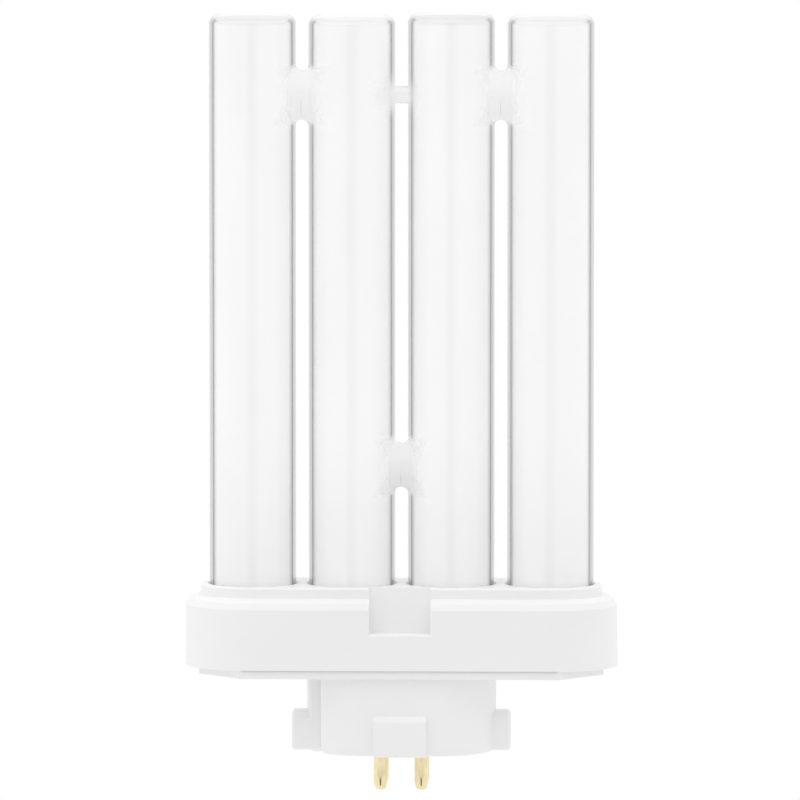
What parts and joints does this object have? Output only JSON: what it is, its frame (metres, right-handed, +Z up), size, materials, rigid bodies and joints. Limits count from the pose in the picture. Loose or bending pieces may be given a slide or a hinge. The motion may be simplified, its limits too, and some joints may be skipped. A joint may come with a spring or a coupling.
{
  "type": "compact fluorescent lamp",
  "caption": "Flat plug-in fluorescent lamp: a row of joined white glass tubes in a stadium-shaped plastic base with a keyed plug and round contact pins.",
  "frame": {"origin": "Centre of the footprint on the surface that the lamp lies on, under the middle of its length and width.", "axes": "+Y runs along the tubes away from the pins, +X across the row of tubes, +Z up through the front of the base, which has the key and the notch."},
  "size_m": [0.075, 0.135, 0.0234],
  "materials": {
    "clear_glass": "clear, polished by drawing",
    "phosphor": "matt white powder",
    "white_plastic": "moulded, satin",
    "pin_brass": "bright, rolled and crimped",
    "lead_wire": "bare drawn wire",
    "tube_cement": "cured silicone, slightly clear"
  },
  "bodies": {
    "root": {"glass_envelope": "clear_glass", "phosphor_coating": "phosphor", "tube_housing": "white_plastic", "plug_cover": "white_plastic", "contact_pin_1": "pin_brass", "contact_pin_2": "pin_brass", "contact_pin_3": "pin_brass", "contact_pin_4": "pin_brass", "lead_wire_1": "lead_wire", "lead_wire_2": "lead_wire", "lead_wire_3": "lead_wire", "lead_wire_4": "lead_wire", "tube_cement_1": "tube_cement", "tube_cement_2": "tube_cement", "tube_cement_3": "tube_cement", "tube_cement_4": "tube_cement"}
  },
  "joints": []
}
